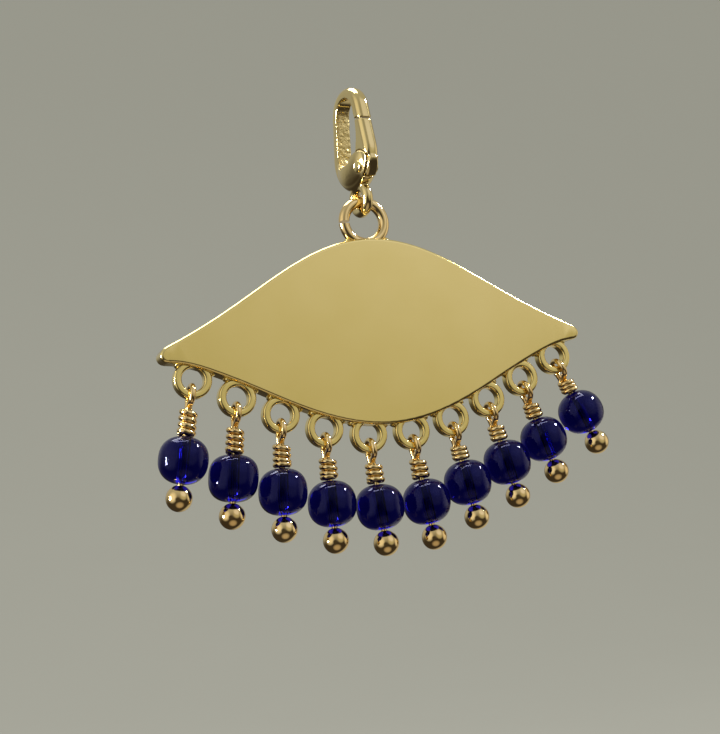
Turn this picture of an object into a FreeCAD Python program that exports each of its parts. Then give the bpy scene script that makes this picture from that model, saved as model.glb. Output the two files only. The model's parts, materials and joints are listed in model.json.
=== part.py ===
import FreeCAD, Part
import math
import os
import Sketcher

from FreeCAD import Placement, Rotation, Vector

# A gold eye-shaped charm that hangs from a lobster clasp, with ten beaded pins along its lower edge.
# Millimetres and degrees. +Z is up, the eye lies in the XZ plane, its enamelled front faces -Y and
# its flat back faces +Y. The origin is the inside of the clasp's crown, where the charm hangs.

PINS = 10

SIZES = {
    # lobster clasp, seen flat: across is its width, drop is a distance below the origin
    "clasp_turn": 8.0,
    "crown_inner": 1.3,
    "crown_outer": 2.2,
    "bowl_inner": 1.72,
    "bowl_outer": 2.75,
    "bowl_centre_drop": 4.7,
    "hook_depth": 1.25,
    "hook_round": 0.5,
    "cheek_centre_drop": 5.45,
    "cheek_across": 2.6,
    "cheek_rise": 2.0,
    "cheek_depth": 1.0,
    "mouth_floor_drop": 5.4,
    "mouth_corner": 0.6,
    "pivot_across": 1.35,
    "pivot_drop": 5.95,
    "cheek_lobe": 1.25,
    "nose_reach": 3.88,
    "slot_width": 1.0,
    "slot_reach": 1.5,
    "slot_root": 0.82,
    "pocket_floor_drop": 6.8,
    "pocket_back": 0.75,
    "vent_width": 0.5,
    "vent_length": 1.4,
    "vent_rise": 0.3,
    "eyelet_drop": 8.2,
    "eyelet_middle": 1.02,
    "eyelet_tube": 0.425,
    # gate lever, its rivet and its spring
    "lever_play": 0.02,
    "lever_tip": 3.8,
    "lever_foot": 1.32,
    "lever_hollow": 0.16,
    "lever_web": 0.92,
    "lobe_reach": 1.45,
    "lobe_proud": 0.12,
    "lobe_depth": 0.62,
    "lobe_crown": 1.6,
    "lever_root": 0.75,
    "lever_heel": 1.05,
    "rivet_width": 0.6,
    "rivet_length": 1.68,
    "rivet_play": 0.03,
    "spring_leaf": 0.12,
    "spring_width": 0.8,
    "spring_foot": 0.5,
    "spring_bend": 0.2,
    "spring_gap": 0.04,
    # angles about the rivet, from straight up towards the gate's side
    "sweep_first": -60.0,
    "sweep_last": 75.0,
    "slot_first": -85.0,
    "slot_last": 155.0,
    "tip_inside": 1.0,
    "foot_inside": -22.0,
    "foot_outside": 67.0,
    "lobe_last": 148.0,
    "heel_first": -105.0,
    "heel_last": -75.0,
    "vent_turn": 151.0,
    # top ring
    "ring_centre_drop": 10.05,
    "ring_middle": 1.67,
    "ring_tube": 0.43,
    "ring_slit": 0.22,
    # eye plate
    "tip_drop": 19.82,
    "eye_half": 17.5,
    "eye_rise": 8.34,
    "eye_fall": 6.31,
    "eye_thick": 1.6,
    "eye_round": 0.25,
    # front recess, its enamels and the cell walls between them
    "almond_half": 13.2,
    "almond_top": 7.1,
    "almond_bottom": 5.0,
    "almond_corner": 0.2,
    "recess": 0.5,
    "enamel": 0.45,
    "iris_above_tips": 1.05,
    "iris_wall": 4.6,
    "iris_outer": 4.3,
    "iris_inner": 2.9,
    "light_outer": 2.6,
    "light_inner": 1.5,
    "pupil": 1.25,
    "pupil_dome": 0.35,
    # cast rings along the lower edge
    "loop_outer": 1.45,
    "loop_hole": 0.85,
    "loop_depth": 0.9,
    "loop_round": 0.2,
    # beaded pins: wire, wrapped coil, ball and bead
    "wire_width": 0.45,
    "stem_width": 0.43,
    "eye_bend": 0.725,
    "wrap_middle": 0.46,
    "sleeve_width": 1.0,
    "sleeve_lap": 0.2,
    "coil_pitch": 0.4,
    "coil_gap": 0.1,
    "ball_width": 1.95,
    "ball_gap": 0.05,
    "bead_width": 3.7,
    "bead_length": 3.5,
    "bead_hole": 0.62,
}

# The five cast rings of one half, from the outermost inwards: across, and drop below the tips.
LOOP_SPOTS = ((15.13, 1.83), (11.91, 3.4), (8.66, 4.89), (5.31, 6.21), (1.8, 6.93))

# Each pin from +X to -X: its lean from straight down, its reach from eye to bead, its coil turns.
PIN_LEANS = (12.3, 8.5, 4.5, 0.7, -2.8, -5.8, -8.4, -11.8, -15.6, -22.7)
PIN_REACHES = (4.8, 4.8, 4.6, 4.5, 4.4, 4.4, 4.0, 4.1, 4.1, 3.95)
COIL_TURNS = (4, 4, 4, 4, 4, 4, 3, 3, 3, 3)

# Half of the eye's outline as shares of its half length and of its rise or fall.
UPPER_SHARES = ((0.2, 0.932), (0.4, 0.745), (0.6, 0.495), (0.8, 0.253), (0.95, 0.098))
TIP_SHARES = ((0.99, 0.045), (1.0, 0.0), (0.99, -0.05))
LOWER_SHARES = ((0.95, 0.097), (0.8, 0.211), (0.6, 0.463), (0.4, 0.731), (0.2, 0.927))

RIVET_CORE = 0.1  # sectors about the rivet start here, inside its hole

X_AXIS = Vector(1, 0, 0)
Y_AXIS = Vector(0, 1, 0)
Z_AXIS = Vector(0, 0, 1)

doc = FreeCAD.newDocument("evil_eye_ornament")
sheet = doc.addObject("Spreadsheet::Sheet", "Sizes")
nodes = []


def fill_sheet():
    """Write every driving size into the sheet, one row each, with its alias."""
    rows = dict(SIZES)
    for index in range(PINS):
        rows[f"lean_{index + 1:02d}"] = PIN_LEANS[index]
        rows[f"reach_{index + 1:02d}"] = PIN_REACHES[index]
        side = 1 if index < PINS // 2 else -1
        across, drop = LOOP_SPOTS[min(index, PINS - 1 - index)]
        rows[f"spot_{index + 1:02d}"] = side * across
        rows[f"dip_{index + 1:02d}"] = drop
    for row, (alias, value) in enumerate(rows.items(), start=1):
        sheet.set(f"A{row}", alias.replace("_", " "))
        sheet.set(f"B{row}", str(value))
        sheet.setAlias(f"B{row}", alias)
    doc.recompute()


def size(alias):
    return float(getattr(sheet, alias))


def bind(item, **expressions):
    """Tie properties of an object to expressions on the sheet; a double underscore is a dot."""
    for name, expression in expressions.items():
        item.setExpression(name.replace("__", "."), expression)


def keep(item, label):
    item.Label = label
    nodes.append(item)
    return item


def feature(label, shape):
    item = doc.addObject("Part::Feature", label + "_shape")
    item.Shape = shape
    return item


def primitive(kind, name, **expressions):
    item = doc.addObject("Part::" + kind, name)
    bind(item, **expressions)
    return item


def cut(name, base, tool):
    item = doc.addObject("Part::Cut", name)
    item.Base = base
    item.Tool = tool
    return item


def fuse(name, parts):
    item = doc.addObject("Part::MultiFuse", name)
    item.Shapes = parts
    return item


def common(name, parts):
    item = doc.addObject("Part::MultiCommon", name)
    item.Shapes = parts
    return item


def round_edges(name, base, radius, chosen=lambda edge: True):
    """Fillet the edges of an object that the test picks."""
    doc.recompute()
    item = doc.addObject("Part::Fillet", name)
    item.Base = base
    picks = [n for n, edge in enumerate(base.Shape.Edges, start=1) if chosen(edge)]
    item.Edges = [(n, radius, radius) for n in picks]
    return item


# ---- lobster clasp: flat shapes are drawn in the YZ plane, Y across and Z up ----

def flat(across, up):
    return Vector(0, across, up)


def polar(centre, reach, degrees):
    """A point at a reach from a centre, with the angle measured from +Z towards +Y."""
    turn = math.radians(degrees)
    return centre + flat(reach * math.sin(turn), reach * math.cos(turn))


def line(start, end):
    return Part.LineSegment(start, end).toShape()


def arc(start, middle, end):
    return Part.Arc(start, middle, end).toShape()


def slab(edges, depth):
    """Extrude a closed flat outline symmetrically along X."""
    face = Part.Face(Part.Wire(edges))
    face.translate(X_AXIS * (-depth / 2))
    return face.extrude(X_AXIS * depth)


def rod(centre, radius, length):
    """A cylinder along X, centred on a point."""
    return Part.makeCylinder(radius, length, centre - X_AXIS * (length / 2), X_AXIS)


def ring_sector(centre, inner, outer, first, last, depth):
    middle = (first + last) / 2
    return slab([
        arc(polar(centre, outer, first), polar(centre, outer, middle), polar(centre, outer, last)),
        line(polar(centre, outer, last), polar(centre, inner, last)),
        arc(polar(centre, inner, last), polar(centre, inner, middle), polar(centre, inner, first)),
        line(polar(centre, inner, first), polar(centre, outer, first)),
    ], depth)


def pivot():
    return flat(size("pivot_across"), -size("pivot_drop"))


def hook_loop(grow):
    """The rounded loop of the hook and bowl, before anything is cut away, grown or shrunk all round."""
    crown, bowl = flat(0, -size("crown_inner")), flat(0, -size("bowl_centre_drop"))
    crown_radius, bowl_radius = size("crown_outer") + grow, size("bowl_outer") + grow
    high, low = loop_side(crown_radius, bowl_radius)
    depth = size("hook_depth") + 2 * grow
    loop = slab([
        arc(mirrored(high), crown + flat(0, crown_radius), high),
        line(high, low),
        arc(low, bowl - flat(0, bowl_radius), mirrored(low)),
        line(mirrored(low), mirrored(high)),
    ], depth)
    rims = [edge for edge in loop.Edges if abs(edge.CenterOfMass.x) > depth / 4]
    return loop.makeFillet(size("hook_round"), rims)


def loop_side(crown_radius, bowl_radius):
    """Where the straight side of a tapered loop leaves the crown, and where it meets the bowl."""
    crown, bowl = flat(0, -size("crown_inner")), flat(0, -size("bowl_centre_drop"))
    tilt = math.asin((bowl_radius - crown_radius) / (crown - bowl).Length)
    outward = flat(math.cos(tilt), math.sin(tilt))
    return crown + outward * crown_radius, bowl + outward * bowl_radius


def mirrored(point):
    return flat(-point.y, point.z)


def ellipsoid(centre, depth, across, rise):
    swell = Part.makeSphere(1.0)
    stretch = FreeCAD.Matrix()
    stretch.scale(depth, across, rise)
    swell = swell.transformGeometry(stretch)
    swell.translate(centre)
    return swell


def cheek_swell():
    """The swollen cheeks that hold the rivet."""
    return ellipsoid(flat(0, -size("cheek_centre_drop")), size("cheek_depth"), size("cheek_across"),
                     size("cheek_rise"))


def mouth():
    """Everything that is open between the hook, its arm and the cheeks."""
    inner = size("bowl_inner")
    corner = size("mouth_corner")
    floor = -size("mouth_floor_drop")
    high, low = loop_side(size("crown_inner"), inner)
    deep = 4 * size("hook_depth")
    bend = corner * (1 - math.sqrt(0.5))
    window = slab([
        arc(mirrored(high), flat(0, 0), high),
        line(high, low),
        line(low, flat(low.y, floor)),
        line(flat(low.y, floor), flat(corner - low.y, floor)),
        arc(flat(corner - low.y, floor), flat(bend - low.y, floor + bend), flat(-low.y, floor + corner)),
        line(flat(-low.y, floor + corner), mirrored(low)),
        line(mirrored(low), mirrored(high)),
    ], deep)
    sweep = ring_sector(pivot(), size("cheek_lobe"), size("nose_reach"), size("sweep_first"),
                        size("sweep_last"), deep)
    arm_side = Part.makeBox(deep, deep, 2 * deep, Vector(-deep / 2, -deep, -deep))
    lobe = rod(pivot(), size("cheek_lobe"), 2 * deep)
    return window.cut(lobe).fuse(sweep.cut(arm_side))


def lever_slot():
    """The slot between the cheeks, with the pocket behind it that holds the spring."""
    width = size("slot_width")
    floor = -size("pocket_floor_drop")
    back = -size("pocket_back")
    top = -size("mouth_floor_drop")
    sector = ring_sector(pivot(), RIVET_CORE, size("slot_reach"), size("slot_first"),
                         size("slot_last"), width)
    root = rod(pivot(), size("slot_root"), width)
    pocket = slab([
        line(flat(back, floor), flat(pivot().y, floor)),
        line(flat(pivot().y, floor), flat(pivot().y, top)),
        line(flat(pivot().y, top), flat(back, top)),
        line(flat(back, top), flat(back, floor)),
    ], width)
    return sector.fuse([root, pocket])


def clasp_body():
    body = hook_loop(0).fuse(cheek_swell())
    body = body.cut(mouth())
    body = body.cut(lever_slot())
    body = body.cut(rod(pivot(), size("rivet_width") / 2, 4 * size("hook_depth")))
    vent_start = flat(size("mouth_corner") / 2 - size("bowl_inner"),
                      size("vent_rise") - size("mouth_floor_drop"))
    vent = Part.makeCylinder(size("vent_width") / 2, size("vent_length"), vent_start,
                             polar(Vector(), 1, size("vent_turn")))
    body = body.cut(vent)
    eyelet = Part.makeTorus(size("eyelet_middle"), size("eyelet_tube"), flat(0, -size("eyelet_drop")), X_AXIS)
    return body.fuse(eyelet).removeSplitter()


def clasp_lever():
    """The gate: a thick bar that closes the hook's loop, and a thin lobe round the rivet for the thumb."""
    centre = pivot()
    web = size("lever_web")
    tip_in = polar(centre, size("lever_tip"), size("tip_inside"))
    foot_in = polar(centre, size("lever_foot"), size("foot_inside"))
    hollow = (foot_in + tip_in) * 0.5 + flat(size("lever_hollow"), 0)
    wedge = ring_sector(centre, size("lever_foot"), size("lever_tip"), size("foot_inside"),
                        size("foot_outside"), 2 * size("hook_depth"))
    far = flat(-size("bowl_outer"), foot_in.z)
    inside = slab([
        arc(foot_in, hollow, tip_in),
        line(tip_in, flat(tip_in.y, 0)),
        line(flat(tip_in.y, 0), flat(far.y, 0)),
        line(flat(far.y, 0), far),
        line(far, foot_in),
    ], 3 * size("hook_depth"))
    bar = hook_loop(-size("lever_play")).common(wedge).cut(inside)
    lobe = ring_sector(centre, RIVET_CORE, size("lobe_reach"), size("foot_inside"), size("lobe_last"), web)
    crown = size("lobe_crown")
    lobe = lobe.common(hook_loop(size("lobe_proud"))).common(ellipsoid(centre, size("lobe_depth"), crown, crown))
    heel = ring_sector(centre, RIVET_CORE, size("lever_heel"), size("heel_first"), size("heel_last"), web)
    lever = bar.fuse([lobe, heel, rod(centre, size("lever_root"), web)])
    return lever.cut(rod(centre, size("rivet_width") / 2 + size("rivet_play"), 4 * web)).removeSplitter()


def lever_spring():
    """A leaf spring folded to a V, from the pocket's floor up to the lever's heel."""
    leaf, gap = size("spring_leaf"), size("spring_gap")
    floor = gap - size("pocket_floor_drop")
    back = gap - size("pocket_back")
    foot = size("spring_foot")
    touch = polar(pivot(), size("lever_heel"), size("heel_first")) - flat(0, gap)
    corners = [
        flat(foot, floor),
        flat(back, floor),
        flat(back, floor + size("spring_bend")),
        touch,
        touch - flat(0, leaf),
        flat(back + leaf, floor + leaf),
        flat(foot, floor + leaf),
    ]
    edges = [line(a, b) for a, b in zip(corners, corners[1:] + corners[:1])]
    return slab(edges, size("spring_width"))


def make_clasp():
    turn = Rotation(Z_AXIS, size("clasp_turn"))
    for label, shape in (("clasp_body", clasp_body()), ("clasp_lever", clasp_lever()),
                         ("lever_spring", lever_spring())):
        item = keep(feature(label, shape), label)
        item.Placement = Placement(Vector(), turn)
    rivet = keep(primitive("Cylinder", "rivet", Radius="Sizes.rivet_width / 2",
                           Height="Sizes.rivet_length"), "lever_pin")
    start = turn.multVec(pivot() - X_AXIS * (size("rivet_length") / 2))
    rivet.Placement = Placement(start, turn.multiply(Rotation(Y_AXIS, 90)))


# ---- eye plate with its ten cast rings ----

def is_rim(edge):
    """A full circle, rather than the seam of a tube."""
    return edge.Closed and len(edge.Vertexes) == 1


def is_outline(edge):
    return edge.Length > size("eye_half")


def eye_outline():
    """The closed outline of the plate: one smooth curve through the points of both halves."""
    half, rise, fall = size("eye_half"), size("eye_rise"), size("eye_fall")
    right = [(half * across, rise * up) for across, up in UPPER_SHARES]
    right += [(half * across, rise * up) for across, up in TIP_SHARES]
    right += [(half * across, -fall * down) for across, down in LOWER_SHARES]
    left = [(-across, up) for across, up in reversed(right)]
    points = [(0, rise)] + right + [(0, -fall)] + left
    curve = Part.BSplineCurve()
    curve.interpolate(Points=[Vector(across, up, 0) for across, up in points], PeriodicFlag=True)
    return curve


def upright_sketch(name):
    """A sketch in the XZ plane: its own x is +X and its own y is +Z."""
    sketch = doc.addObject("Sketcher::SketchObject", name)
    sketch.Placement = Placement(Vector(0, 0, -size("tip_drop")), Rotation(X_AXIS, 90))
    return sketch


def cast_ring(index):
    """One cast ring: a short tube along Y with rounded rims."""
    tag = f"{index + 1:02d}"
    centre_z = f"-Sizes.tip_drop - Sizes.dip_{tag}"
    turned = Placement(Vector(), Rotation(X_AXIS, 90))
    tubes = []
    for part_name, radius, depth in (("loop_outer", "Sizes.loop_outer", "Sizes.loop_depth"),
                                     ("loop_hole", "Sizes.loop_hole", "2 * Sizes.loop_depth")):
        tube = primitive("Cylinder", f"{part_name}_{tag}", Radius=radius, Height=depth)
        tube.Placement = turned
        bind(tube, Placement__Base__x=f"Sizes.spot_{tag}", Placement__Base__y=f"{depth} / 2",
             Placement__Base__z=centre_z)
        tubes.append(tube)
    ring = cut(f"loop_blank_{tag}", *tubes)
    return round_edges(f"loop_{tag}", ring, size("loop_round"), is_rim)


def make_top_ring():
    """The split ring, upright in the eye's plane."""
    ring = primitive("Torus", "split_ring", Radius1="Sizes.ring_middle", Radius2="Sizes.ring_tube")
    ring.Placement = Placement(Vector(), Rotation(X_AXIS, 90))
    bind(ring, Placement__Base__z="-Sizes.ring_centre_drop")
    slit = primitive("Box", "split", Length="2 * Sizes.ring_tube + 1", Width="4 * Sizes.ring_tube",
                     Height="Sizes.ring_slit")
    bind(slit, Placement__Base__x="Sizes.ring_middle - Sizes.ring_tube - 0.5",
         Placement__Base__y="-2 * Sizes.ring_tube",
         Placement__Base__z="-Sizes.ring_centre_drop - Sizes.ring_slit / 2")
    keep(cut("top_ring_cut", ring, slit), "top_ring")
    return ring


def almond_edges(sketch):
    """Draw the almond of the front recess from two arcs."""
    half, top, bottom = size("almond_half"), size("almond_top"), size("almond_bottom")
    corner_up = size("almond_corner")
    for peak in (top, -bottom):
        curve = Part.Arc(Vector(-half, corner_up, 0), Vector(0, peak, 0), Vector(half, corner_up, 0))
        sketch.addGeometry(curve, False)


def make_eye_plate(top_ring):
    outline = upright_sketch("eye_outline")
    outline.addGeometry(eye_outline(), False)
    blank = doc.addObject("Part::Extrusion", "eye_blank")
    blank.Base = outline
    blank.DirMode = "Normal"
    blank.Solid = True
    blank.Symmetric = True
    bind(blank, LengthFwd="Sizes.eye_thick")
    rounded = round_edges("eye_rounded", blank, size("eye_round"), is_outline)

    almond = upright_sketch("almond_outline")
    almond_edges(almond)
    pit = doc.addObject("Part::Extrusion", "recess_block")
    pit.Base = almond
    pit.DirMode = "Normal"
    pit.Solid = True
    bind(pit, LengthFwd="Sizes.eye_thick / 2", LengthRev="0 - Sizes.eye_thick / 2 + Sizes.recess")
    walls = [cell_ring(name, outer, inner) for name, outer, inner in (
        ("wall_outer", "Sizes.iris_wall", "Sizes.iris_outer"),
        ("wall_middle", "Sizes.iris_inner", "Sizes.light_outer"),
        ("wall_inner", "Sizes.light_inner", "Sizes.pupil"))]
    recess = cut("recess_cells", pit, fuse("cell_walls", walls))
    plate = cut("eye_recessed", rounded, recess)
    loops = [cast_ring(index) for index in range(PINS)]
    joined = fuse("eye_and_loops", [plate] + loops)
    keep(cut("eye_plate_cut", joined, top_ring), "eye_plate")


def front_cylinder(name, radius, depth):
    """A disc whose face is flush with the front of the plate and which reaches back to a depth."""
    disc = primitive("Cylinder", name, Radius=radius, Height=depth)
    disc.Placement = Placement(Vector(), Rotation(X_AXIS, 90))
    bind(disc, Placement__Base__y=f"-Sizes.eye_thick / 2 + {depth}",
         Placement__Base__z="-Sizes.tip_drop + Sizes.iris_above_tips")
    return disc


def cell_ring(name, outer, inner):
    """A gold cell wall: a thin tube that stands in the recess."""
    return cut(name, front_cylinder(name + "_outer", outer, "Sizes.recess"),
               front_cylinder(name + "_hole", inner, "Sizes.recess"))


# ---- enamels: sketched in PartDesign bodies, poured into the cells from the front ----

def enamel_body(label, draw):
    """A body whose sketch lies on the floor of the recess and is padded towards the front."""
    body = keep(doc.addObject("PartDesign::Body", label), label)
    sketch = body.newObject("Sketcher::SketchObject", label + "_sketch")
    plane = next(item for item in body.Origin.OriginFeatures if item.Role == "XZ_Plane")
    sketch.AttachmentSupport = [(plane, "")]
    sketch.MapMode = "FlatFace"
    draw(sketch)
    pad = body.newObject("PartDesign::Pad", label + "_pad")
    pad.Profile = sketch
    bind(pad, Length="Sizes.enamel")
    body.Placement = Placement(Vector(0, 0, -size("tip_drop")), Rotation())
    bind(body, Placement__Base__y="-Sizes.eye_thick / 2 + Sizes.recess",
         Placement__Base__z="-Sizes.tip_drop")
    return body


def centred_circle(sketch, radius):
    """A circle on the iris's centre, its radius tied to the sheet."""
    centre = Vector(0, size("iris_above_tips"), 0)
    number = sketch.addGeometry(Part.Circle(centre, Vector(0, 0, 1), size(radius)), False)
    sketch.addConstraint(Sketcher.Constraint("PointOnObject", number, 3, -2))
    rise = sketch.addConstraint(Sketcher.Constraint("DistanceY", -1, 1, number, 3, centre.y))
    across = sketch.addConstraint(Sketcher.Constraint("Radius", number, size(radius)))
    sketch.setExpression(f"Constraints[{rise}]", "Sizes.iris_above_tips")
    sketch.setExpression(f"Constraints[{across}]", "Sizes." + radius)


def draw_sclera(sketch):
    almond_edges(sketch)
    centred_circle(sketch, "iris_wall")


def annulus(outer, inner):
    def draw(sketch):
        centred_circle(sketch, outer)
        centred_circle(sketch, inner)
    return draw


def make_pupil():
    """A cabochon: the cap of a sphere on a short cylinder."""
    radius, dome = size("pupil"), size("pupil_dome")
    ball = (radius * radius + dome * dome) / (2 * dome)
    sphere = primitive("Sphere", "pupil_ball")
    sphere.Radius = ball
    bind(sphere, Placement__Base__y=f"-Sizes.eye_thick / 2 - Sizes.pupil_dome + {ball}",
         Placement__Base__z="-Sizes.tip_drop + Sizes.iris_above_tips")
    block = front_cylinder("pupil_block", "Sizes.pupil", "Sizes.recess + Sizes.pupil_dome")
    bind(block, Placement__Base__y="-Sizes.eye_thick / 2 + Sizes.recess")
    keep(common("pupil_cap", [sphere, block]), "pupil_enamel")


# ---- beaded pins ----

def pin_placement(index):
    """Where a pin hangs: its own origin at the middle of its cast ring's lower arc, -Z down the pin."""
    tag = f"{index + 1:02d}"
    turn = Rotation(Y_AXIS, -size(f"lean_{tag}"))
    middle = (size("loop_outer") + size("loop_hole")) / 2
    centre = Vector(size(f"spot_{tag}"), 0, -size("tip_drop") - size(f"dip_{tag}"))
    return Placement(centre - turn.multVec(Z_AXIS) * middle, turn)


def make_pin(index):
    """Wire eye, wrapped coil, straight stem and ball, in one piece."""
    tag = f"{index + 1:02d}"
    turns = COIL_TURNS[index]
    wire = "Sizes.wire_width / 2"
    coil_foot = f"-Sizes.reach_{tag} + Sizes.bead_length / 2 + Sizes.coil_gap"
    ball_centre = f"-Sizes.reach_{tag} - Sizes.bead_length / 2 - Sizes.ball_gap - Sizes.ball_width / 2"
    eye = primitive("Torus", f"pin_eye_{tag}", Radius1="Sizes.eye_bend", Radius2=wire)
    eye.Placement = Placement(Vector(), Rotation(Y_AXIS, 90))
    stem = primitive("Cylinder", f"pin_stem_{tag}", Radius="Sizes.stem_width / 2")
    bind(stem, Height=f"0 - Sizes.eye_bend - ({ball_centre})", Placement__Base__z=ball_centre)
    sleeve = primitive("Cylinder", f"pin_sleeve_{tag}", Radius="Sizes.sleeve_width / 2",
                       Height=f"{turns - 1} * Sizes.coil_pitch + 2 * Sizes.sleeve_lap")
    bind(sleeve, Placement__Base__z=f"{coil_foot} + {wire} - Sizes.sleeve_lap")
    ball = primitive("Sphere", f"pin_ball_{tag}", Radius="Sizes.ball_width / 2")
    bind(ball, Placement__Base__z=ball_centre)
    wraps = []
    for turn in range(turns):
        wrap = primitive("Torus", f"pin_wrap_{tag}_{turn}", Radius1="Sizes.wrap_middle", Radius2=wire)
        bind(wrap, Placement__Base__z=f"{coil_foot} + {wire} + {turn} * Sizes.coil_pitch")
        wraps.append(wrap)
    pin = keep(fuse(f"pin_{tag}", [stem, eye, sleeve, ball] + wraps), f"head_pin_{tag}")
    pin.Placement = pin_placement(index)


def make_bead(index):
    """A pressed glass bead: a ball with flat ends and a hole through it."""
    tag = f"{index + 1:02d}"
    globe = primitive("Sphere", f"bead_globe_{tag}", Radius="Sizes.bead_width / 2")
    drum = primitive("Cylinder", f"bead_drum_{tag}", Radius="Sizes.bead_width", Height="Sizes.bead_length")
    bind(drum, Placement__Base__z="-Sizes.bead_length / 2")
    hole = primitive("Cylinder", f"bead_hole_{tag}", Radius="Sizes.bead_hole / 2", Height="Sizes.bead_width")
    bind(hole, Placement__Base__z="-Sizes.bead_width / 2")
    bead = keep(cut(f"bead_{tag}", common(f"bead_body_{tag}", [globe, drum]), hole), f"glass_bead_{tag}")
    place = pin_placement(index)
    place.Base -= place.Rotation.multVec(Z_AXIS) * size(f"reach_{tag}")
    bead.Placement = place


def export_nodes():
    """Check every object and every node's shape, then write one STEP file a node."""
    doc.recompute()
    for item in doc.Objects:
        if "Invalid" in item.State or "Error" in item.State:
            raise RuntimeError(f"{item.Label} did not compute: {item.State}")
    for item in nodes:
        if item.Shape.isNull() or not item.Shape.isValid() or len(item.Shape.Solids) != 1:
            raise RuntimeError(f"{item.Label} is not one valid solid")
    os.makedirs("parts", exist_ok=True)
    for item in nodes:
        item.Shape.exportStep(f"parts/{item.Label}.step")
        print(f"{item.Label}: {item.Shape.Volume:.3f} mm3")


fill_sheet()
make_clasp()
make_eye_plate(make_top_ring())
enamel_body("sclera_enamel", draw_sclera)
enamel_body("iris_enamel", annulus("iris_outer", "iris_inner"))
enamel_body("inner_iris_enamel", annulus("light_outer", "light_inner"))
make_pupil()
for pin_index in range(PINS):
    make_pin(pin_index)
    make_bead(pin_index)
export_nodes()
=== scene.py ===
import json
import math
import random

import bmesh
import bpy
from mathutils import Matrix, Vector, noise
from mathutils.bvhtree import BVHTree


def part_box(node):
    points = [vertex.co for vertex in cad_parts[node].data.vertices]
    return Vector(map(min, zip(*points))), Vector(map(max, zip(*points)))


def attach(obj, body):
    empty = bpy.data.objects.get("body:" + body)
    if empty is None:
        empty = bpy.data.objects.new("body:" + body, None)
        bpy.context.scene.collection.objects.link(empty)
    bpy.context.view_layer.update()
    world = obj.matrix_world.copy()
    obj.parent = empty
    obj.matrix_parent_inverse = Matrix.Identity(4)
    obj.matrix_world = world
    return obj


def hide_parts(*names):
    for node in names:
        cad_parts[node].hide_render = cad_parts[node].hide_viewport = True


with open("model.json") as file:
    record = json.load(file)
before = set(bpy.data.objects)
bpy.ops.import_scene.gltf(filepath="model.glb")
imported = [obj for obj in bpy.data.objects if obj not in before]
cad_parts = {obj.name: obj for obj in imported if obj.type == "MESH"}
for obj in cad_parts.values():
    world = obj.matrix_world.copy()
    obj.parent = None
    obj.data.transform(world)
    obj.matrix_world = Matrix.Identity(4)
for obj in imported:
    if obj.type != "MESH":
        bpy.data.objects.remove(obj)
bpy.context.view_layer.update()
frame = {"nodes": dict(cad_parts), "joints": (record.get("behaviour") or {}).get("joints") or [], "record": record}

# The finished look of the evil eye ornament. Metres; +Z is up, the enamelled front faces -Y and the
# polished back faces +Y, which is the side that the camera sees.

MM = 0.001
joints = {joint["name"]: joint for joint in frame["joints"]}
nodes = frame["nodes"]
PIN_TAGS = [f"{number:02d}" for number in range(1, 11)]

# The pins: radius of the wire, of its bend round the eye and of the ball, and the play round the bead.
WIRE = 0.225 * MM
EYE_BEND = 0.725 * MM
BALL = 0.975 * MM
BALL_GAP = 0.05 * MM
COIL_GAP = 0.03 * MM
# The wrapped coil: how far below the eye's bend it starts, its pitch, its fewest turns, the part of a turn
# that lies flat at its foot, and how uneven its radius (as a share) and its height are.
COIL_START = 0.42 * MM
COIL_PITCH = 2.06 * WIRE
MIN_TURNS = 2.5
LAST_LAP = 0.6
COIL_UNEVEN = 0.06
COIL_SPREAD = 0.08
COIL_SWAY = 0.015 * MM
# The eye's arc on the wire, in degrees from straight down.
EYE_FIRST, EYE_LAST, EYE_STEP = 48, 320, 22
# The beads: radius, half length, radius of the hole, roundness of its lip, and dents on each bead.
BEAD_RADIUS = 1.85 * MM
BEAD_HALF = 1.75 * MM
BEAD_HOLE = 0.31 * MM
BEAD_LIP = 0.1 * MM
DENTS = 4
# The rivet's heads: radius, distance of the rim from the clasp's middle, and rise of the dome.
RIVET_HEAD = 0.47 * MM
RIVET_LEVEL = 0.80 * MM
RIVET_RISE = 0.13 * MM
# The cast rings: outer radius, and radius of the middle of the metal.
RING_OUTER = 1.45 * MM
RING_MIDDLE = 1.15 * MM
SHARP_EDGE = math.radians(32)
WELD_GAP = 0.0002 * MM
# How finely the turned and swept pieces are divided.
WIRE_SIDES, BALL_SEGMENTS, BEAD_SEGMENTS, HEAD_SEGMENTS = 12, 36, 56, 32
BALL_ROWS, BEAD_ROWS, HEAD_ROWS = 20, 26, 10
back_face = next(mount for mount in frame["record"]["mounts"] if mount["name"] == "back_face")
PLATE_LEVEL = back_face["pos_m"][2]
# How square each bead's side is: 2 is an ellipse.
BEAD_FULLNESS = (2.45, 2.7, 2.5, 2.35, 2.4, 2.35, 2.35, 2.45, 2.3, 2.15)


# ---- materials ----

def set_inputs(shader, **values):
    """Set a shader's own sockets; an underscore in a name is a space."""
    for name, value in values.items():
        shader.inputs[name.replace("_", " ")].default_value = value


def new_material(name):
    material = bpy.data.materials.new(name)
    material.use_nodes = True
    tree = material.node_tree
    return material, tree, tree.nodes["Principled BSDF"]


def add(tree, kind, **values):
    """Add a node and set its plain properties."""
    node = tree.nodes.new(kind)
    for name, value in values.items():
        setattr(node, name, value)
    return node


def object_noise(tree, scale, detail=3.0, stretch=(1, 1, 1)):
    """Noise in the object's own coordinates; scale is in cells a metre."""
    place = add(tree, "ShaderNodeTexCoord")
    mapping = add(tree, "ShaderNodeMapping")
    mapping.inputs["Scale"].default_value = stretch
    texture = add(tree, "ShaderNodeTexNoise")
    texture.inputs["Scale"].default_value = scale
    texture.inputs["Detail"].default_value = detail
    tree.links.new(place.outputs["Object"], mapping.inputs["Vector"])
    tree.links.new(mapping.outputs["Vector"], texture.inputs["Vector"])
    return texture.outputs["Fac"]


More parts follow.
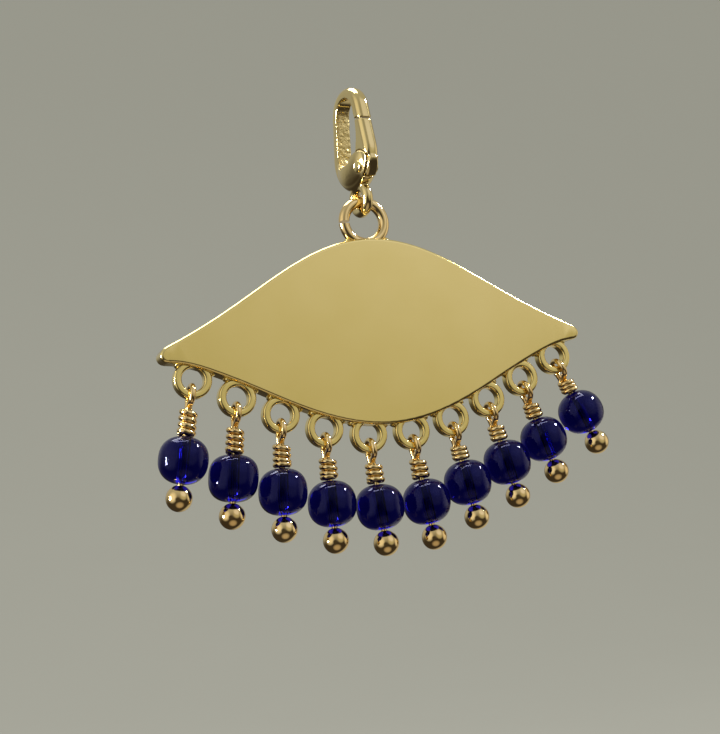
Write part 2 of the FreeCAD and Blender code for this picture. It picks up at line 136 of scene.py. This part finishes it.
def ramp(tree, source, low, high, first, last):
    """Map a value between two stops to two colours."""
    node = add(tree, "ShaderNodeValToRGB")
    node.color_ramp.elements[0].position = low
    node.color_ramp.elements[1].position = high
    node.color_ramp.elements[0].color = (*first, 1)
    node.color_ramp.elements[1].color = (*last, 1)
    tree.links.new(source, node.inputs["Fac"])
    return node.outputs["Color"]


def spread(tree, source, low, high):
    """Map 0..1 to low..high."""
    node = add(tree, "ShaderNodeMapRange")
    node.inputs["To Min"].default_value = low
    node.inputs["To Max"].default_value = high
    tree.links.new(source, node.inputs["Value"])
    return node.outputs["Result"]


def step(tree, source, low, high):
    """0 at low and 1 at high, smooth in between."""
    node = add(tree, "ShaderNodeMapRange", interpolation_type="SMOOTHSTEP")
    node.inputs["From Min"].default_value = low
    node.inputs["From Max"].default_value = high
    tree.links.new(source, node.inputs["Value"])
    return node.outputs["Result"]


def product(tree, first, second):
    node = add(tree, "ShaderNodeMath", operation="MULTIPLY")
    tree.links.new(first, node.inputs[0])
    tree.links.new(second, node.inputs[1])
    return node.outputs["Value"]


def bump(tree, height, strength, distance, below=None):
    """A bumped normal, on top of the one below if there is one."""
    node = add(tree, "ShaderNodeBump")
    node.inputs["Strength"].default_value = strength
    node.inputs["Distance"].default_value = distance
    tree.links.new(height, node.inputs["Height"])
    if below is not None:
        tree.links.new(below, node.inputs["Normal"])
    return node.outputs["Normal"]


def gold(name, light, deep, rough_low, rough_high, wave, scratch):
    """Polished gold plate: slow colour drift, fine scratches in the gloss and a slightly wavy face."""
    material, tree, shader = new_material(name)
    set_inputs(shader, Metallic=1.0)
    drift = object_noise(tree, 180)
    tree.links.new(ramp(tree, drift, 0.3, 0.7, deep, light), shader.inputs["Base Color"])
    scratches = object_noise(tree, 900, 4.0, (0.35, 1, 3.2))
    tree.links.new(spread(tree, scratches, rough_low, rough_high), shader.inputs["Roughness"])
    wavy = bump(tree, object_noise(tree, 260, 1.0), wave, 0.05 * MM)
    fine = bump(tree, scratches, scratch, 0.01 * MM, wavy)
    tree.links.new(fine, shader.inputs["Normal"])
    return material


def cobalt_glass():
    """Deep cobalt glass with a faint swirl on its pressed surface."""
    material, tree, shader = new_material("cobalt_glass")
    set_inputs(shader, IOR=1.52, Transmission_Weight=1.0, Specular_Tint=(0.27, 0.29, 0.68, 1))
    swirl = object_noise(tree, 420, 2.0, (1, 1, 0.5))
    blue = ramp(tree, swirl, 0.3, 0.7, (0.10, 0.09, 0.80), (0.16, 0.14, 0.95))
    tree.links.new(blue, shader.inputs["Base Color"])
    tree.links.new(spread(tree, object_noise(tree, 900), 0.0, 0.07), shader.inputs["Roughness"])
    tree.links.new(bump(tree, swirl, 0.2, 0.05 * MM), shader.inputs["Normal"])
    depth = add(tree, "ShaderNodeVolumeAbsorption")
    set_inputs(depth, Color=(0.05, 0.03, 0.5, 1), Density=1250.0)
    tree.links.new(depth.outputs["Volume"], tree.nodes["Material Output"].inputs["Volume"])
    return material


def enamel(name, light, deep):
    """Poured enamel: glossy, with a faint mottle and an uneven surface."""
    material, tree, shader = new_material(name)
    set_inputs(shader, Coat_Weight=0.6, Coat_Roughness=0.05, IOR=1.5)
    tree.links.new(ramp(tree, object_noise(tree, 450), 0.35, 0.65, deep, light), shader.inputs["Base Color"])
    tree.links.new(spread(tree, object_noise(tree, 1500), 0.12, 0.24), shader.inputs["Roughness"])
    tree.links.new(bump(tree, object_noise(tree, 240, 1.0), 0.25, 0.05 * MM), shader.inputs["Normal"])
    return material


def steel():
    """Spring steel with a drawn grain."""
    material, tree, shader = new_material("spring_steel")
    set_inputs(shader, Metallic=1.0)
    drawn = object_noise(tree, 1500, 2.0, (8, 1, 1))
    grey = ramp(tree, drawn, 0.3, 0.7, (0.35, 0.34, 0.33), (0.6, 0.6, 0.6))
    tree.links.new(grey, shader.inputs["Base Color"])
    tree.links.new(spread(tree, drawn, 0.2, 0.4), shader.inputs["Roughness"])
    return material


def clasp_gold(name):
    """The clasp's gold: polished outside, left pitted from the mould on the inner wall of its arm."""
    material = gold(name, (0.88, 0.72, 0.34), (0.80, 0.64, 0.28), 0.05, 0.14, 0.15, 0.05)
    tree = material.node_tree
    shader = tree.nodes["Principled BSDF"]
    place = add(tree, "ShaderNodeTexCoord")
    facing = add(tree, "ShaderNodeSeparateXYZ")
    tree.links.new(place.outputs["Normal"], facing.inputs["Vector"])
    spot = add(tree, "ShaderNodeSeparateXYZ")
    tree.links.new(place.outputs["Object"], spot.inputs["Vector"])
    # The pits lie where the arm's wall faces the gate, on the arm's side, above the mouth's floor.
    inward = step(tree, facing.outputs["Y"], 0.6, 0.9)
    arm = step(tree, spot.outputs["Y"], -0.2 * MM, -0.8 * MM)
    above = step(tree, spot.outputs["Z"], -5.6 * MM, -5.2 * MM)
    pitted = product(tree, product(tree, inward, arm), above)
    pits = product(tree, object_noise(tree, 3200, 4.0), pitted)
    smooth_normal = shader.inputs["Normal"].links[0].from_socket
    tree.links.new(bump(tree, pits, 0.9, 0.12 * MM, smooth_normal), shader.inputs["Normal"])
    smooth_gloss = shader.inputs["Roughness"].links[0].from_socket
    rougher = add(tree, "ShaderNodeMath", operation="MULTIPLY_ADD")
    rougher.inputs[1].default_value = 0.2
    tree.links.new(pitted, rougher.inputs[0])
    tree.links.new(smooth_gloss, rougher.inputs[2])
    tree.links.new(rougher.outputs["Value"], shader.inputs["Roughness"])
    return material


MATERIALS = {
    "gold_cast": gold("gold_cast", (0.96, 0.79, 0.33), (0.92, 0.75, 0.29), 0.10, 0.18, 0.10, 0.05),
    "gold_wire": gold("gold_wire", (0.98, 0.77, 0.38), (0.88, 0.64, 0.28), 0.05, 0.14, 0.3, 0.05),
    "cobalt_glass": cobalt_glass(),
    "white_enamel": enamel("white_enamel", (0.80, 0.79, 0.75), (0.74, 0.73, 0.69)),
    "dark_blue_enamel": enamel("dark_blue_enamel", (0.01, 0.035, 0.30), (0.006, 0.02, 0.2)),
    "light_blue_enamel": enamel("light_blue_enamel", (0.16, 0.48, 0.72), (0.12, 0.4, 0.62)),
    "black_enamel": enamel("black_enamel", (0.012, 0.012, 0.014), (0.006, 0.006, 0.007)),
    "spring_steel": steel(),
}


def dress(piece, slot):
    """Give a piece its slot's material."""
    piece.data.materials.clear()
    piece.data.materials.append(MATERIALS[slot])


def recast(node, depth, rounds):
    """Round a CAD node's small edges the way polished casting does; more rounds make softer edges."""
    melt = node.modifiers.new("recast", "REMESH")
    melt.mode = "SMOOTH"
    melt.octree_depth = depth
    melt.scale = 0.96
    melt.use_smooth_shade = True
    polish = node.modifiers.new("polish", "SMOOTH")
    polish.factor = 0.5
    polish.iterations = rounds


def soften(node):
    """Shade a CAD node smoothly across its small facets, and crisply at its real edges."""
    if "custom_normal" in node.data.attributes:
        node.data.attributes.remove(node.data.attributes["custom_normal"])
    for face in node.data.polygons:
        face.use_smooth = True
    weld = node.modifiers.new("weld", "WELD")
    weld.merge_threshold = WELD_GAP
    split = node.modifiers.new("edges", "EDGE_SPLIT")
    split.split_angle = SHARP_EDGE
    flatten = node.modifiers.new("flat_faces", "WEIGHTED_NORMAL")
    flatten.weight = 100


# ---- mesh helpers ----

def finish_mesh(name, mesh, body, slot):
    """Make an object of a bmesh, shade it smoothly, give it its material and its body."""
    bmesh.ops.recalc_face_normals(mesh, faces=mesh.faces)
    data = bpy.data.meshes.new(name)
    mesh.to_mesh(data)
    mesh.free()
    for face in data.polygons:
        face.use_smooth = True
    piece = bpy.data.objects.new(name, data)
    bpy.context.scene.collection.objects.link(piece)
    dress(piece, slot)
    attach(piece, body)
    return piece


def lathe(mesh, profile, segments, place):
    """Turn a profile of (radius, height) points round the local Z axis; a zero radius closes the end."""
    rings = []
    for radius, height in profile:
        if radius == 0:
            rings.append([mesh.verts.new(place @ Vector((0, 0, height)))])
            continue
        ring = []
        for corner in range(segments):
            turn = 2 * math.pi * corner / segments
            point = Vector((radius * math.cos(turn), radius * math.sin(turn), height))
            ring.append(mesh.verts.new(place @ point))
        rings.append(ring)
    for low, high in zip(rings, rings[1:]):
        for corner in range(segments):
            following = (corner + 1) % segments
            corners = [low[corner % len(low)], low[following % len(low)],
                       high[following % len(high)], high[corner % len(high)]]
            mesh.faces.new(list(dict.fromkeys(corners)))
    return rings


def smooth_path(points, steps):
    """A Catmull-Rom curve through the points."""
    padded = [2 * points[0] - points[1]] + points + [2 * points[-1] - points[-2]]
    path = []
    for before, start, end, after in zip(padded, padded[1:], padded[2:], padded[3:]):
        for part in range(steps):
            share = part / steps
            path.append(0.5 * (2 * start + (end - before) * share
                               + (2 * before - 5 * start + 4 * end - after) * share ** 2
                               + (3 * start - before - 3 * end + after) * share ** 3))
    path.append(points[-1])
    return path


def tube(mesh, path, radius, sides, place):
    """Sweep a round section along a path without twist, with domed ends."""
    last = len(path) - 1
    tangents = [(path[min(n + 1, last)] - path[max(n - 1, 0)]).normalized() for n in range(last + 1)]
    side = tangents[0].orthogonal().normalized()
    rings = []
    dome = radius * 0.6
    stations = [(path[0] - tangents[0] * dome, tangents[0], dome)]
    stations += [(point, tangent, radius) for point, tangent in zip(path, tangents)]
    stations += [(path[-1] + tangents[-1] * dome, tangents[-1], dome)]
    for point, tangent, size in stations:
        side = (side - tangent * side.dot(tangent)).normalized()
        other = tangent.cross(side)
        ring = []
        for corner in range(sides):
            turn = 2 * math.pi * corner / sides
            outward = side * math.cos(turn) + other * math.sin(turn)
            ring.append(mesh.verts.new(place @ (point + outward * size)))
        rings.append(ring)
    for low, high in zip(rings, rings[1:]):
        for corner in range(sides):
            following = (corner + 1) % sides
            mesh.faces.new([low[corner], low[following], high[following], high[corner]])
    mesh.faces.new(rings[0])
    mesh.faces.new(list(reversed(rings[-1])))


# ---- beaded pins ----

def pin_frame(tag):
    """The pin's own frame: origin at its wire eye, +X along the swing axis, +Z up the pin; and its reach."""
    swing = joints[f"pin_{tag}_swing"]
    eye = Vector(swing["pos_m"])
    bead = Vector(joints[f"bead_{tag}_spin"]["pos_m"])
    up = (eye - bead).normalized()
    across = Vector(swing["axis"]).normalized()
    frame_matrix = Matrix((across, up.cross(across), up)).transposed().to_4x4()
    return Matrix.Translation(eye) @ frame_matrix, (eye - bead).length


def wire_path(reach, number):
    """Up the stem, round the eye, then wrapped down round the stem to the bead."""
    chance = random.Random(number)
    coil_foot = -reach + BEAD_HALF + COIL_GAP + WIRE
    coil_top = -EYE_BEND - COIL_START
    ball_centre = -reach - BEAD_HALF - BALL_GAP - BALL
    turns = max(MIN_TURNS, (coil_top - coil_foot) / COIL_PITCH) + LAST_LAP
    stem = [Vector((0, 0, height)) for height in (ball_centre, -reach, coil_foot, coil_top - 0.2 * MM)]
    stem.append(Vector((0, 0.06 * MM, -EYE_BEND - 0.14 * MM)))
    eye = []
    for degrees in range(EYE_FIRST, EYE_LAST, EYE_STEP):
        turn = math.radians(degrees)
        eye.append(Vector((0, EYE_BEND * math.sin(turn), -EYE_BEND * math.cos(turn))))
    wrap = []
    steps = int(turns * 12)
    for part in range(steps + 1):
        share = part / steps
        turn = math.radians(-90) + 2 * math.pi * turns * share
        radius = 2 * WIRE * (1.0 + COIL_UNEVEN * chance.random() + COIL_SPREAD * share)
        fall = min(1.0, share * turns / (turns - LAST_LAP))
        sway = COIL_SWAY * chance.uniform(-1, 1) * (1 - fall)
        height = coil_top + (coil_foot - coil_top) * fall + sway
        wrap.append(Vector((radius * math.cos(turn), radius * math.sin(turn), height)))
    return smooth_path(stem + eye + wrap, 3)


def make_pin(tag, number):
    """A pin's wrapped wire and its ball."""
    place, reach = pin_frame(tag)
    mesh = bmesh.new()
    tube(mesh, wire_path(reach, number), WIRE, WIRE_SIDES, place)
    ball_centre = -reach - BEAD_HALF - BALL_GAP - BALL
    profile = []
    for row in range(BALL_ROWS + 1):
        turn = math.pi * row / BALL_ROWS
        radius = 0 if row in (0, BALL_ROWS) else BALL * math.sin(turn)
        profile.append((radius, ball_centre + BALL * math.cos(turn)))
    lathe(mesh, profile, BALL_SEGMENTS, place)
    pin = finish_mesh(f"wrapped_pin_{tag}", mesh, f"pin_{tag}", "gold_wire")
    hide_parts(f"head_pin_{tag}")


def make_bead(tag, number):
    """A pressed bead: an uneven barrel with rounded ends and a hole; each has its own fullness."""
    chance = random.Random(100 + number)
    place, reach = pin_frame(tag)
    power = 2 / BEAD_FULLNESS[number]
    first = math.asin(((BEAD_HOLE + BEAD_LIP) / BEAD_RADIUS) ** (1 / power))
    profile = []
    for row in range(BEAD_ROWS + 1):
        turn = first + (math.pi - 2 * first) * row / BEAD_ROWS
        across, along = math.sin(turn) ** power, math.cos(turn)
        profile.append((BEAD_RADIUS * across, math.copysign(BEAD_HALF * abs(along) ** power, along) - reach))
    top, bottom = profile[0][1], profile[-1][1]
    rim = [(BEAD_HOLE, BEAD_LIP), (BEAD_HOLE + 0.3 * BEAD_LIP, 0.3 * BEAD_LIP)]
    profile = [(radius, top - drop) for radius, drop in rim] + profile
    profile += [(radius, bottom + drop) for radius, drop in reversed(rim)]
    mesh = bmesh.new()
    rings = lathe(mesh, profile, BEAD_SEGMENTS, place)
    for corner, bottom_vertex in enumerate(rings[-1]):
        following = (corner + 1) % len(rings[-1])
        mesh.faces.new([bottom_vertex, rings[-1][following], rings[0][following], rings[0][corner]])
    dents = [(Vector((chance.uniform(-1, 1), chance.uniform(-1, 1), chance.uniform(-1, 1))).normalized(),
              chance.uniform(0.02, 0.05) * MM) for _ in range(DENTS)]
    middle = place @ Vector((0, 0, -reach))
    for vertex in mesh.verts:
        outward = vertex.co - middle
        if outward.length > BEAD_RADIUS * 0.7:
            direction = outward.normalized()
            for dent, depth in dents:
                vertex.co -= direction * depth * max(0.0, direction.dot(dent)) ** 6
    bead = finish_mesh(f"cobalt_bead_{tag}", mesh, f"bead_{tag}", "cobalt_glass")
    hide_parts(f"glass_bead_{tag}")


# ---- rivet heads and solder ----

def make_rivet_heads():
    """The rivet's ends, hammered over and polished down to low domes on the clasp's cheeks."""
    swing = joints["gate_swing"]
    axis = Vector(swing["axis"]).normalized()
    mesh = bmesh.new()
    for side in (-1, 1):
        turned = (side * axis).to_track_quat("Z", "Y").to_matrix().to_4x4()
        place = Matrix.Translation(swing["pos_m"]) @ turned
        profile = [(RIVET_HEAD, RIVET_LEVEL - 0.25 * MM)]
        for row in range(HEAD_ROWS + 1):
            turn = math.radians(90 * row / HEAD_ROWS)
            radius = 0 if row == HEAD_ROWS else RIVET_HEAD * math.cos(turn)
            profile.append((radius, RIVET_LEVEL + RIVET_RISE * math.sin(turn)))
        lathe(mesh, profile, HEAD_SEGMENTS, place)
    finish_mesh("rivet_heads", mesh, "clasp", "gold_cast")


def ring_roots(centre, radius):
    """Where a ring's outer circle runs into the plate: one point on each side."""
    plate = BVHTree.FromObject(nodes["eye_plate"], bpy.context.evaluated_depsgraph_get())
    inward = 1 if centre.z > PLATE_LEVEL else -1
    roots = []
    for side in (-1, 1):
        for degrees in range(40, 180):
            turn = math.radians(degrees)
            point = centre + radius * 1.04 * Vector((side * math.sin(turn), 0, inward * math.cos(turn)))
            if plate.ray_cast(point + Vector((0, 5 * MM, 0)), Vector((0, -1, 0)))[0] is not None:
                roots.append(point)
                break
    return roots


def make_solder():
    """Small uneven beads of solder in the corners where each ring meets the plate."""
    chance = random.Random(7)
    spots = []
    for tag in PIN_TAGS:
        pivot = Vector(joints[f"pin_{tag}_swing"]["pos_m"])
        place, _ = pin_frame(tag)
        spots += ring_roots(pivot + place.to_3x3() @ Vector((0, 0, RING_MIDDLE)), RING_OUTER)
    low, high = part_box("top_ring")
    top_radius = (high.x - low.x) / 2
    spots += ring_roots(Vector((0, 0, high.z - top_radius)), top_radius)
    mesh = bmesh.new()
    for spot in spots:
        blob = bmesh.ops.create_icosphere(mesh, subdivisions=3, radius=1)["verts"]
        size = Vector((chance.uniform(0.3, 0.44), 0.42, chance.uniform(0.22, 0.32))) * MM
        turn = Matrix.Rotation(chance.uniform(-0.5, 0.5), 3, "Y")
        for vertex in blob:
            lumpy = 1 + 0.16 * noise.noise(vertex.co * 1.7 + spot * 4000)
            vertex.co = spot + turn @ (vertex.co * size * lumpy)
    finish_mesh("ring_solder", mesh, "charm", "gold_cast")


# ---- room, light and camera ----

# Soft regions of the studio: direction, inner and outer angle, colour.
STUDIO_GLOWS = (
    ((0.93, 0.25, 0.20), 10, 48, (0.85, 0.80, 0.72)),
    ((-0.96, 0.10, 0.06), 6, 32, (0.75, 0.68, 0.58)),
    ((0.10, 0.45, -0.90), 8, 36, (0.42, 0.34, 0.25)),
    ((0.30, -0.75, 0.55), 10, 42, (0.42, 0.42, 0.40)),
    ((-0.64, -0.64, -0.42), 12, 38, (0.46, 0.43, 0.37)),
    ((-0.42, 0.88, 0.22), 12, 38, (0.47, 0.44, 0.33)),
    ((-0.45, 0.72, 0.53), 8, 30, (0.73, 0.72, 0.79)),
    ((0.47, 0.86, -0.15), 8, 24, (0.05, 0.043, 0.033)),
)


def stage_object(name, mesh, colour, glow):
    """A piece of the studio; glow is the light that it gives of itself."""
    data = bpy.data.meshes.new(name)
    mesh.to_mesh(data)
    mesh.free()
    for face in data.polygons:
        face.use_smooth = True
    piece = bpy.data.objects.new(name, data)
    bpy.context.scene.collection.objects.link(piece)
    material, tree, shader = new_material(name)
    tree.links.new(ramp(tree, object_noise(tree, 30), 0.35, 0.65, [part * 0.97 for part in colour], colour),
                   shader.inputs["Base Color"])
    set_inputs(shader, Roughness=0.8, Emission_Color=(*glow, 1), Emission_Strength=1.0)
    data.materials.append(material)
    piece.visible_glossy = False


def make_backdrop():
    """A pale floor that curves up into a far wall behind the ornament's front."""
    floor_level, wall_at, near, half_width, height, bend = -0.085, -0.7, 1.4, 1.6, 1.2, 0.45
    outline = [(near, floor_level), (wall_at + bend, floor_level)]
    steps = 24
    for part in range(1, steps):
        turn = math.radians(90 * part / steps)
        outline.append((wall_at + bend - bend * math.sin(turn), floor_level + bend - bend * math.cos(turn)))
    outline += [(wall_at, floor_level + bend), (wall_at, height)]
    mesh = bmesh.new()
    sides = (-half_width, half_width)
    rows = [[mesh.verts.new((across, depth, up)) for across in sides] for depth, up in outline]
    for low, high in zip(rows, rows[1:]):
        mesh.faces.new([low[0], low[1], high[1], high[0]])
    bmesh.ops.recalc_face_normals(mesh, faces=mesh.faces)
    stage_object("backdrop", mesh, (0.075, 0.074, 0.066), (0.265, 0.264, 0.22))


def make_panel(name, place, target, size, power, colour):
    """A soft rectangular light at a place, turned to a target."""
    light = bpy.data.lights.new(name, "AREA")
    light.shape = "RECTANGLE"
    light.size, light.size_y = size
    light.energy = power
    light.color = colour
    piece = bpy.data.objects.new(name, light)
    piece.location = place
    piece.rotation_mode = "QUATERNION"
    piece.rotation_quaternion = (Vector(target) - Vector(place)).to_track_quat("-Z", "Y")
    bpy.context.scene.collection.objects.link(piece)


def make_world():
    """The studio as the gold sees it: dark below, light above, with broad soft glows round it."""
    world = bpy.data.worlds.new("room")
    world.use_nodes = True
    tree = world.node_tree
    place = add(tree, "ShaderNodeTexCoord")
    ray = place.outputs["Generated"]

    def glow(direction, inner, outer):
        """1 within inner degrees of a direction, and 0 beyond outer degrees."""
        toward = add(tree, "ShaderNodeVectorMath", operation="DOT_PRODUCT")
        toward.inputs[1].default_value = Vector(direction).normalized()
        tree.links.new(ray, toward.inputs[0])
        low, high = math.cos(math.radians(outer)), math.cos(math.radians(inner))
        return step(tree, toward.outputs["Value"], low, high)

    def mix(share, first, last):
        node = add(tree, "ShaderNodeMix", data_type="RGBA")
        tree.links.new(share, node.inputs["Factor"])
        for socket, value in ((node.inputs[6], first), (node.inputs[7], last)):
            if isinstance(value, tuple):
                socket.default_value = (*value, 1)
            else:
                tree.links.new(value, socket)
        return node.outputs[2]

    colour = mix(glow((0, 0, 1), 10, 112), (0.042, 0.034, 0.027), (0.46, 0.455, 0.43))
    for direction, inner, outer, tint in STUDIO_GLOWS:
        colour = mix(glow(direction, inner, outer), colour, tint)
    camera_ray = add(tree, "ShaderNodeLightPath").outputs["Is Camera Ray"]
    seen_by_camera = (0.34, 0.335, 0.285)
    colour = mix(camera_ray, colour, seen_by_camera)
    tree.links.new(colour, tree.nodes["Background"].inputs["Color"])
    bpy.context.scene.world = world


def make_camera():
    """The photograph's view: near, below and to the +X side of the flat back."""
    turn, drop, roll = math.radians(22.4), math.radians(7.8), math.radians(-6.9)
    distance = 0.105
    target = Vector((1.8 * MM, 0, PLATE_LEVEL - 2.66 * MM))
    back = Vector((math.sin(turn) * math.cos(drop), math.cos(turn) * math.cos(drop), -math.sin(drop)))
    level = Vector((-math.cos(turn), math.sin(turn), 0))
    above = back.cross(level)
    right = level * math.cos(roll) + above * math.sin(roll)
    up = above * math.cos(roll) - level * math.sin(roll)
    camera = bpy.data.cameras.new("camera")
    camera.lens = 66.95
    camera.sensor_width = 36.0
    camera.clip_start = 0.005
    camera.clip_end = 5.0
    piece = bpy.data.objects.new("camera", camera)
    facing = Matrix((right, up, back)).transposed().to_4x4()
    piece.matrix_world = Matrix.Translation(target + back * distance) @ facing
    bpy.context.scene.collection.objects.link(piece)
    bpy.context.scene.camera = piece


make_camera()
make_backdrop()
make_world()
make_panel("window", (0.36, -0.03, 0.02), (0, 0, -0.025), (0.07, 0.13), 1.5, (1.0, 0.98, 0.94))
make_panel("side", (-0.30, 0.05, 0.22), (0, 0, -0.025), (0.05, 0.05), 0.8, (1.0, 0.99, 0.97))
make_panel("overhead", (0.0, -0.10, 0.40), (0, 0, -0.02), (0.3, 0.3), 1.6, (1.0, 0.99, 0.97))

for entry in frame["record"]["subparts"]:
    dress(nodes[entry["node"]], entry["material_slot"])
    soften(nodes[entry["node"]])
for clasp_node, depth, rounds in (("clasp_body", 8, 20), ("clasp_lever", 7, 26)):
    # Each has a material of its own, because the pits are placed in its own coordinates.
    nodes[clasp_node].data.materials[0] = clasp_gold(clasp_node)
    recast(nodes[clasp_node], depth, rounds)
make_rivet_heads()
make_solder()

for pin_number, pin_tag in enumerate(PIN_TAGS):
    make_pin(pin_tag, pin_number)
    make_bead(pin_tag, pin_number)

bpy.context.scene.view_settings.view_transform = "Standard"
